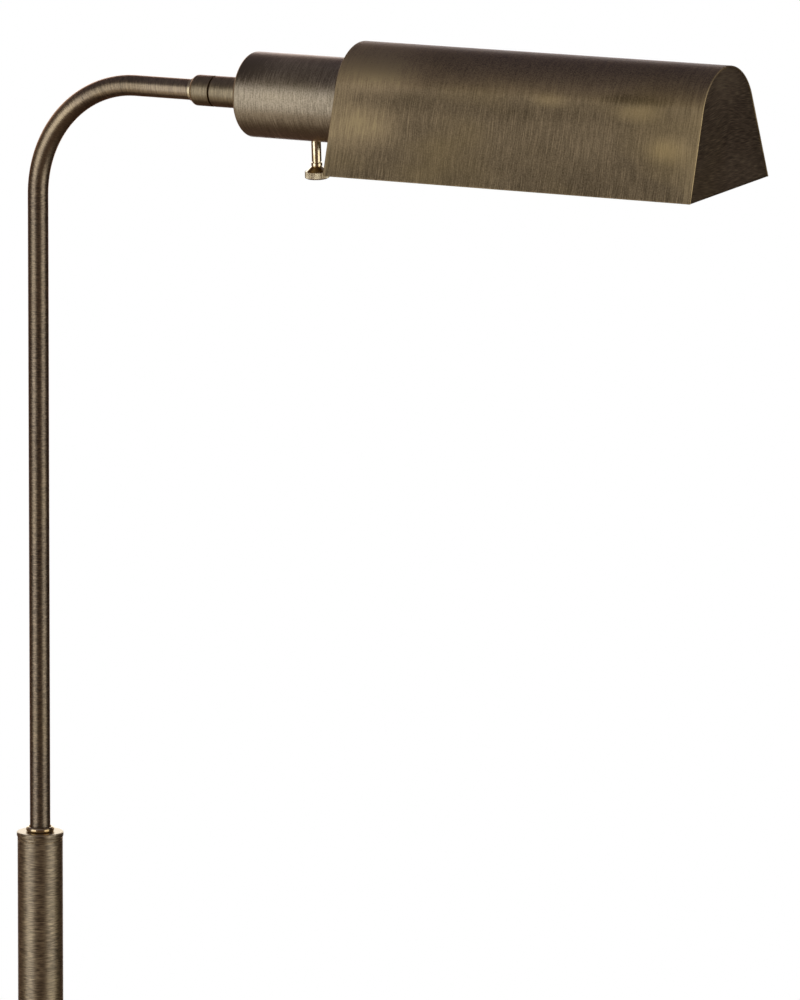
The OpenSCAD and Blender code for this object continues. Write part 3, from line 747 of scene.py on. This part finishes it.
def makePostLead(p):
    route = [(0, 0, p["top"])]
    turnsTop = p["top"] - p["drop"]
    for k in range(p["steps"] + 1):
        t = k / p["steps"]
        swell = min(1, p["swell"] * t, p["swell"] * (1 - t))  # the turns start and end on the post's axis
        reach = p["coil"] * swell * swell * (3 - 2 * swell)
        angle = 2 * math.pi * p["turns"] * t
        height = turnsTop + (p["turnsLow"] - turnsTop) * t
        route.append((reach * math.cos(angle), reach * math.sin(angle), height))
    route += [(0, 0, p["plug"]), (0, 0, p["tie"])]
    for k in range(p["arc"] + 1):
        angle = math.pi / 2 * k / p["arc"]
        route.append((p["bend"] * (math.cos(angle) - 1), 0, p["run"] + p["bend"] * (1 - math.sin(angle))))
    rise = cordBushing["height"] - p["run"]
    route += [(x, 0, p["run"] + rise * share) for x, share in p["out"]]
    bm = drawnOut([Vector(point) for point in route], p["radius"], p["sides"])
    piece = meshPiece("postLead", bm, onPost, None, "post_lead", "leadSheath")
    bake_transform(piece)


makePostLead(postLead)
print("post done")

# arm
low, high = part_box("arm_tube")
armTube = dict(
    low=low.z / mm, end=high.x / mm, axis=armZ / mm, radius=5, bore=4, bend=56, arc=60, sides=72,
)


def makeArmTube(a):
    centre = Vector((a["bend"], 0, a["axis"] - a["bend"]))
    route = [Vector((0, 0, a["low"]))]
    for k in range(a["arc"] + 1):
        angle = math.pi / 2 * k / a["arc"]
        route.append(centre + a["bend"] * Vector((-math.cos(angle), 0, math.sin(angle))))
    route.append(Vector((a["end"], 0, a["axis"])))
    bm = drawnOut(route, a["radius"], a["sides"], a["bore"])
    meshPiece("armTube", bm, onPost, "arm", "arm_tube", "brushedTube")


makeArmTube(armTube)

low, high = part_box("neck_ring")
neckRing = dict(low=low.x / mm, high=high.x / mm, outer=5.45, bore=5.03, edge=0.38, sides=96)


def makeNeckRing(n):
    outline = ringOutline(n["bore"], n["outer"], n["low"], n["high"], n["edge"])
    turned("neckRing", outline, alongArm, "arm", "neck_ring", "satinBrass", n["sides"])


makeNeckRing(neckRing)

low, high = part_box("swivel_body")
swivelBody = dict(
    start=low.x / mm, seam=seamX, end=high.x / mm, radius=7.4, shoulder=2.2, lip=0.2, gap=0.5, step=1,
    pivot=4.5, tip=0.3, mouth=0.2, socket=5.03, depth=5.5, bore=2.5, sides=96,
)


def makeSwivelBody(s):
    floor = s["start"] + s["depth"]
    lipEnd = s["seam"] - s["gap"]
    stepIn = s["radius"] - s["step"]
    outline = rounded([
        (s["socket"], s["start"], 0), (s["radius"], s["start"], s["shoulder"]),
        (s["radius"], lipEnd, s["lip"]), (stepIn, lipEnd, 0), (stepIn, s["seam"], 0),
        (s["pivot"], s["seam"], 0), (s["pivot"], s["end"], s["tip"]), (s["bore"], s["end"], s["mouth"]),
        (s["bore"], floor, 0), (s["socket"], floor, 0),
    ])
    turned(
        "swivelBody", outline, alongArm, "arm", "swivel_body", "brushedSwivel", s["sides"],
    )


makeSwivelBody(swivelBody)
print("arm done")

# head
low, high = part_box("swivel_barrel")
swivelBarrel = dict(
    start=low.x / mm, end=high.x / mm, radius=7.4, lip=0.35, back=0.1, bore=4.56, web=8, cavity=6,
    groove=(5.15, 6.75), grooveDeep=1.6, block=math.radians(5.2), sides=144,
)


def makeSwivelBarrel(s):
    web = s["start"] + s["web"]
    floor = s["start"] + s["grooveDeep"]
    near, far = s["groove"]
    outline = rounded([
        (s["bore"], s["start"], 0), (near, s["start"], 0), (near, floor, 0), (far, floor, 0),
        (far, s["start"], 0), (s["radius"], s["start"], s["lip"]), (s["radius"], s["end"], s["back"]),
        (s["cavity"], s["end"], 0), (s["cavity"], web, 0), (s["bore"], web, 0),
    ])

    # the block that stops the turn stands across the groove
    def stopBlock(angle, radius, height):
        off = abs((angle - headRoll + math.pi) % (2 * math.pi) - math.pi)
        if height == floor and off < s["block"]:
            return radius, s["start"]
        return radius, height

    turned(
        "swivelBarrel", outline, alongArm, "head", "swivel_barrel", "brushedSwivel",
        s["sides"], stopBlock,
    )


makeSwivelBarrel(swivelBarrel)

low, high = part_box("socket_cup")
cup = dict(
    back=low.x / mm, mouth=high.x / mm, radius=20.3, wall=1, edge=1.6, rim=0.2, hole=6.03, knobHole=2.75,
    cut=16, arc=8, sides=192,
)


def makeCup(c):
    inner = c["radius"] - c["wall"]
    floor = c["back"] + c["wall"]
    outline = rounded([
        (c["hole"], c["back"], 0), (c["radius"], c["back"], c["edge"]), (c["radius"], c["mouth"], c["rim"]),
        (inner, c["mouth"], c["rim"]), (inner, floor, c["edge"] - c["wall"]), (c["hole"], floor, 0),
    ], c["arc"])
    piece = turned(
        "socketCup", outline, alongArm, "head", "socket_cup", "brushedBrass", c["sides"],
    )
    cutWithBar(piece, c["knobHole"], downKnob @ Matrix.Translation((0, 0, c["radius"] * mm)), c["cut"])


makeCup(cup)

# nearEnds and lowerEdge have distances from an end and from the lower edge, and the share of the worn tone
# there
low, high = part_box("shade_shell")
shade = dict(
    start=low.x / mm, end=high.x / mm, width=76.6, top=28.8, drop=29, crown=25.4, sheet=1, rim=0.48,
    steps=64, rimSteps=6, rimWear=0.55, nearEnds=((1.5, 0.46), (12, 0.38), (30, 0.28)),
    lowerEdge=((0, 1), (0.3, 0.5), (0.8, 0)), farWearAndSheen=0.3, soft=0.25, step=0.3, plate=1, plateGap=0.03,
    plateSoft=0.15, neck=16.53, cut=8,
)


def rolled(y, z):
    return y * math.cos(headRoll) - z * math.sin(headRoll), y * math.sin(headRoll) + z * math.cos(headRoll)


# half-round crown with straight sides tangent to it, from the far lower edge over the top to the near one
def shadeSection(s, inset):
    radius = s["crown"] - inset
    centre = s["top"] - s["crown"]
    fall = centre + s["drop"]
    half = s["width"] / 2
    lean = math.acos(s["crown"] / math.hypot(half, fall)) - math.atan2(fall, half)

    def sidePoint(z):
        return (radius + (centre - z) * math.sin(lean)) / math.cos(lean)

    side = [(sidePoint(up - s["drop"]), up - s["drop"], worn) for up, worn in s["lowerEdge"]]
    crown = []
    for k in range(s["steps"] + 1):
        angle = lean + (math.pi - 2 * lean) * k / s["steps"]
        crown.append((radius * math.cos(angle), centre + radius * math.sin(angle), 0))
    return side + crown + [(-y, z, worn) for y, z, worn in side[::-1]]


def makeShade(s):
    rim = rounded([
        (s["start"], 0, s["rim"]), (s["end"], 0, s["rim"]), (s["end"], s["sheet"], s["rim"]),
        (s["start"], s["sheet"], s["rim"]),
    ], s["rimSteps"])
    rim = [(x, inset, max(worn, s["rimWear"]) if inset < s["rim"] else worn) for x, inset, worn in rim]
    skin = [(s["start"] + reach, 0, worn) for reach, worn in s["nearEnds"]]
    skin += [(s["end"] - reach, 0, worn) for reach, worn in s["nearEnds"][::-1]]
    afterCorner = s["rimSteps"] + 1
    rim[afterCorner:afterCorner] = skin
    bm = bmesh.new()
    brush = bm.loops.layers.uv.new("brush")
    worn = {}
    rows = []
    for x, inset, rimWorn in rim:
        row = []
        for y, z, edgeWorn in shadeSection(s, inset):
            across, up = rolled(y, z)
            vert = bm.verts.new((-up * mm, across * mm, x * mm))
            # the far side's edges take only a share of this: the near side's rims are lighter from wear and
            # also carry a painted highlight where the light falls on them
            worn[vert] = max(rimWorn, edgeWorn) * (1 if y < 0 else s["farWearAndSheen"])
            row.append(vert)
        rows.append(row)
    for i, row in enumerate(rows):
        nextRow = rows[(i + 1) % len(rows)]
        for k in range(len(row) - 1):
            bm.faces.new([row[k], row[k + 1], nextRow[k + 1], nextRow[k]])
    bm.faces.new([row[0] for row in rows])
    bm.faces.new([row[-1] for row in rows])
    for face in bm.faces:
        for loop in face.loops:
            loop[brush].uv = (loop.vert.co.z, worn[loop.vert])
    piece = meshPiece("shadeShell", bm, alongArm, "head", "shade_shell", "brushedSheet")
    softenEdges(piece, s["soft"])


def makeEndPlate(s, name, node, start, hole):
    bm = bmesh.new()
    brush = bm.loops.layers.uv.new("brush")
    line = [rolled(y, z) for y, z, worn in shadeSection(s, s["sheet"] + s["plateGap"])]
    sides = [[bm.verts.new((x * mm, y * mm, z * mm)) for y, z in line] for x in (start, start + s["plate"])]
    for k in range(len(line)):
        n = (k + 1) % len(line)
        bm.faces.new([sides[0][k], sides[0][n], sides[1][n], sides[1][k]])
    for side in sides:
        bm.faces.new(side)
    for face in bm.faces:
        for loop in face.loops:
            loop[brush].uv = (loop.vert.co.z, 0)
    piece = meshPiece(name, bm, atArm, "head", node, "brushedPlate")
    if hole:
        middle = Matrix.Translation((0, 0, (start + s["plate"] / 2) * mm))
        cutWithBar(piece, hole, alongArm @ middle, s["cut"])
    softenEdges(piece, s["plateSoft"])


makeShade(shade)
makeEndPlate(shade, "shadeOuterPlate", "shade_outer_plate", shade["end"] - shade["step"] - shade["plate"], 0)
makeEndPlate(shade, "shadeInnerPlate", "shade_inner_plate", shade["start"], shade["neck"])
print("shade done")

# bulb: a glass tube with a round end, and a screw cap
low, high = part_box("bulb_glass")
bulbGlass = dict(
    start=low.x / mm, end=high.x / mm, radius=16, neck=11.6, glass=0.8, straight=2, flare=3, shoulder=14,
    flareSteps=12, endSteps=24, sides=96,
)


def bulbSkin(b, inset):
    radius = b["radius"] - inset
    neck = b["neck"] - inset
    points = [(neck, b["start"], 0), (neck, b["start"] + b["straight"], 0)]
    for k in range(b["flareSteps"] + 1):
        t = k / b["flareSteps"]
        along = b["start"] + b["flare"] + (b["shoulder"] - b["flare"]) * t
        points.append((neck + (radius - neck) * t * t * (3 - 2 * t), along, 0))
    middle = b["end"] - b["radius"]
    for k in range(b["endSteps"]):
        angle = math.pi / 2 * k / b["endSteps"]
        points.append((radius * math.cos(angle), middle + radius * math.sin(angle), 0))
    return points + [(0, middle + radius, 0)]


def makeBulbGlass(b):
    outline = bulbSkin(b, 0) + bulbSkin(b, b["glass"])[::-1]
    turned("bulbGlass", outline, alongArm, "head", "bulb_glass", "opalGlass", b["sides"])


makeBulbGlass(bulbGlass)

low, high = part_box("bulb_cap")
bulbCap = dict(
    start=low.x / mm, end=high.x / mm, radius=12.7, thread=0.38, pitch=3.6, threadEnds=(4, 20),
    threadFade=2, button=4.6, buttonRise=0.4, tip=(5.2, 6.2), tipHigh=3, floor=4, fit=0.03, steps=120,
    sides=96,
)


def makeBulbCap(c):
    # screw thread: the wave climbs one pitch a turn
    def thread(angle, radius, height):
        up = height - c["start"]
        first, last = c["threadEnds"]
        fade = min(1, max(0, (up - first) / c["threadFade"]), max(0, (last - up) / c["threadFade"]))
        if radius == c["radius"]:
            radius += c["thread"] * fade * math.cos(2 * math.pi * up / c["pitch"] - angle)
        return radius, height

    inner = bulbGlass["neck"] + c["fit"]
    floor = c["start"] + c["floor"]
    wall = c["start"] + c["tipHigh"]
    outline = [(c["button"], c["start"] + c["buttonRise"], 0)]
    outline += [(across, c["start"], 0) for across in c["tip"]]
    for k in range(c["steps"] + 1):
        outline.append((c["radius"], wall + (c["end"] - wall) * k / c["steps"], 0))
    outline += [(inner, c["end"], 0), (inner, floor, 0), (c["button"], floor, 0)]
    turned("bulbCap", outline, alongArm, "head", "bulb_cap", "pressedAlloy", c["sides"], thread)


makeBulbCap(bulbCap)

# switch knob: heights are distances below the arm's axis
knob = dict(
    start=18.1, stem=2.35, stemEnd=30.2, neck=2.0, neckEnd=30.6, bead=2.65, beadEnd=32.4, cone=5.1,
    coneEnd=34.9, head=5.8, headEnd=38.4, foot=4.8, edge=0.5, dish=0.1, bore=1.53, boreEnd=32.5,
    stemSoft=(0.2, 0.15), beadSoft=0.3, coneSoft=0.05, headSoft=(0.12, 0.3), footSoft=0.4,
    ribs=40, ribDeep=0.22, ribReach=0.5, sides=320,
)


def makeKnob(k):
    outline = rounded([
        (k["bore"], k["start"], 0), (k["stem"], k["start"], k["stemSoft"][0]),
        (k["stem"], k["stemEnd"], k["stemSoft"][1]), (k["neck"], k["stemEnd"], 0),
        (k["neck"], k["neckEnd"], 0), (k["bead"], k["neckEnd"], k["beadSoft"]),
        (k["bead"], k["beadEnd"], k["beadSoft"]), (k["stem"], k["beadEnd"], 0),
        (k["cone"], k["coneEnd"], k["coneSoft"]), (k["head"], k["coneEnd"], k["headSoft"][0]),
        (k["head"], k["headEnd"] - k["edge"], k["headSoft"][1]), (k["foot"], k["headEnd"], k["footSoft"]),
        (0, k["headEnd"] - k["dish"], 0), (0, k["boreEnd"], 0), (k["bore"], k["boreEnd"], 0),
    ])

    def ribs(angle, radius, height):
        if radius > k["head"] - k["ribReach"] and height >= k["coneEnd"]:
            radius -= k["ribDeep"] * (0.5 - 0.5 * math.cos(k["ribs"] * angle))
        return radius, height

    piece = turned(
        "switchKnob", outline, downKnob, "knob", "switch_knob", "polishedBrass",
        k["sides"], ribs,
    )
    finishBeyond(piece, k["coneEnd"], "satinBrass")


makeKnob(knob)
print("bulb and knob done")

# pieces that keep their CAD shape
keptPieces = dict(
    castIron=["base_weight"],
    zincSteel=[
        "post_plug", "base_nipple", "base_washer", "base_nut", "tube_stop_ring", "tube_end_ring",
        "swivel_stop_pin", "swivel_clip", "cup_nipple", "cup_nut", "switch_shaft", "bulb_contact",
    ],
    nylon=["collar_bush", "guide_sleeve", "lead_grommet", "swivel_washer"],
    rubber=["guide_rings"],
    phenolic=["socket_body", "shade_ring", "switch_rotor"],
    pressedAlloy=["socket_shell"],
    polishedBrass=["socket_contact", "terminal_screws"],
    leadSheath=["arm_lead", "head_lead"],
)
for finish, names in keptPieces.items():
    for name in names:
        nodes[name].data.materials.clear()
        nodes[name].data.materials.append(finishes[finish])
print("kept pieces dressed")

# floor, in metres: pale near the lamp, then clear, so that the white behind takes over
paleFloor = dict(radius=1.6, drop=0.0006, clear=(0.45, 1.5), tone=0.8, glow=0.42, sides=128)


def makeFloor(f):
    bm = bmesh.new()
    bmesh.ops.create_circle(bm, cap_ends=True, segments=f["sides"], radius=f["radius"])
    mesh = bpy.data.meshes.new("floor")
    bm.to_mesh(mesh)
    bm.free()
    material, wire = startMaterial("paleFloor")
    reach = wire.make("TexCoord", {}, {}, "Object").length()
    seen = wire.make("LightPath", {}, {}, "Is Camera Ray")
    matt = wire.make("BsdfDiffuse", {}, {"Color": paint([f["tone"]] * 3)})
    glow = wire.make("Emission", {}, {"Color": paint((1, 1, 1)), "Strength": f["glow"]})
    both = wire.make("AddShader", {}, {0: matt, 1: glow})
    near = wire.make("MixShader", {}, {0: seen, 1: matt, 2: both})  # it glows for the camera only
    clear = wire.make("BsdfTransparent")
    surface = wire.make("MixShader", {}, {0: reach.between(*f["clear"]), 1: near, 2: clear})
    wire.make("OutputMaterial", {}, {"Surface": surface})
    mesh.materials.append(material)
    floor = bpy.data.objects.new("floor", mesh)
    floor.location.z = -f["drop"]
    floor.visible_glossy = False
    bpy.context.scene.collection.objects.link(floor)


makeFloor(paleFloor)

# the room: white behind the lamp, which metal mirrors only in a band above the floor, and dim and warm
# all round. Spans are heights of a direction, or how far it faces the back or the dusky side
room = dict(
    matt=0.45, metal=0.14, warm=(1.0, 0.69, 0.58), above=(1.0, 0.98, 1.36), aboveSpan=(0.1, 0.7),
    aboveLift=0.25, belowSpan=(-0.6, -0.95), belowDeep=0.3, behind=(-0.507, 0.862, 0), wide=(0.5, 0.8),
    low=(0.0, 0.07), high=(0.24, 0.42), dusk=(0.5, 0.85, -0.16), duskSpan=(0.2, 0.9), duskDeep=0.65,
)


def makeRoom(r):
    world = bpy.data.worlds.new("room")
    bpy.context.scene.world = world
    world.use_nodes = True
    world.node_tree.nodes.clear()
    world.cycles.sampling_method = "NONE"
    wire = Wire(world.node_tree)
    way = wire.make("TexCoord", {}, {}, "Generated")
    height = wire.make("SeparateXYZ", {}, {0: way}, 2)
    facing = way.vector("DOT_PRODUCT", r["behind"], "Value")
    aside = way.vector("DOT_PRODUCT", r["dusk"], "Value")
    upward = height.between(*r["aboveSpan"])
    backdrop = facing.between(*r["wide"]) * height.between(*r["low"]) * (1 - height.between(*r["high"]))
    dim = r["metal"] * (1 - r["duskDeep"] * aside.between(*r["duskSpan"]))
    dim *= 1 + r["aboveLift"] * upward - r["belowDeep"] * height.between(*r["belowSpan"])
    seen = wire.make("LightPath", {}, {}, "Is Camera Ray")
    through = seen.also("Is Transmission Ray")
    mirrored = seen.also("Is Glossy Ray")
    level = wire.sum("MAXIMUM", seen, through) + mirrored * (dim + (1 - dim) * backdrop)
    level += r["matt"] * seen.also("Is Diffuse Ray")
    colour = (mirrored * (1 - backdrop)).blend((1, 1, 1), upward.blend(r["warm"], r["above"]))
    surface = wire.make("Background", {}, {"Color": colour, "Strength": level})
    wire.make("OutputWorld", {}, {"Surface": surface})


makeRoom(room)

# tall soft boxes on both sides of the camera, one behind the lamp, and a pale board on the floor: turn
# and tilt in degrees from the camera's side, lengths in metres, glow is how bright the box itself looks
softBoxes = dict(
    left=dict(
        turn=-53, wide=1.75, tall=2.4, away=2.3, height=1.08, glow=2.05, tint=(0.91, 1.0, 1.16), tilt=0,
    ),
    right=dict(
        turn=59, wide=1.7, tall=2.2, away=2.3, height=1.05, glow=1.9, tint=(0.93, 1.0, 1.09), tilt=0,
    ),
    behind=dict(
        turn=180, wide=2.2, tall=2.2, away=2.6, height=1.2, glow=1.2, tint=(1, 1, 1), tilt=0,
    ),
    board=dict(
        turn=-67, wide=1.0, tall=1.5, away=1.5, height=0.03, glow=0.7, tint=(1.0, 0.97, 0.92), tilt=90,
    ),
)


def makeSoftBox(name, s):
    data = bpy.data.lights.new(name, "AREA")
    data.shape = "RECTANGLE"
    data.size = s["wide"]
    data.size_y = s["tall"]
    data.color = s["tint"]
    data.energy = s["glow"] * math.pi * s["wide"] * s["tall"]
    light = bpy.data.objects.new(name, data)
    light.visible_camera = False
    turn = math.radians(cameraView["azimuth"] + s["turn"])
    tilt = math.radians(s["tilt"])
    light.location = (s["away"] * math.sin(turn), -s["away"] * math.cos(turn), s["height"])
    facing = Vector((-math.sin(turn) * math.cos(tilt), math.cos(turn) * math.cos(tilt), math.sin(tilt)))
    light.rotation_mode = "QUATERNION"
    light.rotation_quaternion = facing.to_track_quat("-Z", "Y")
    bpy.context.scene.collection.objects.link(light)


for name, s in softBoxes.items():
    makeSoftBox(name, s)

bpy.context.scene.view_settings.view_transform = "Standard"
print("stage done")
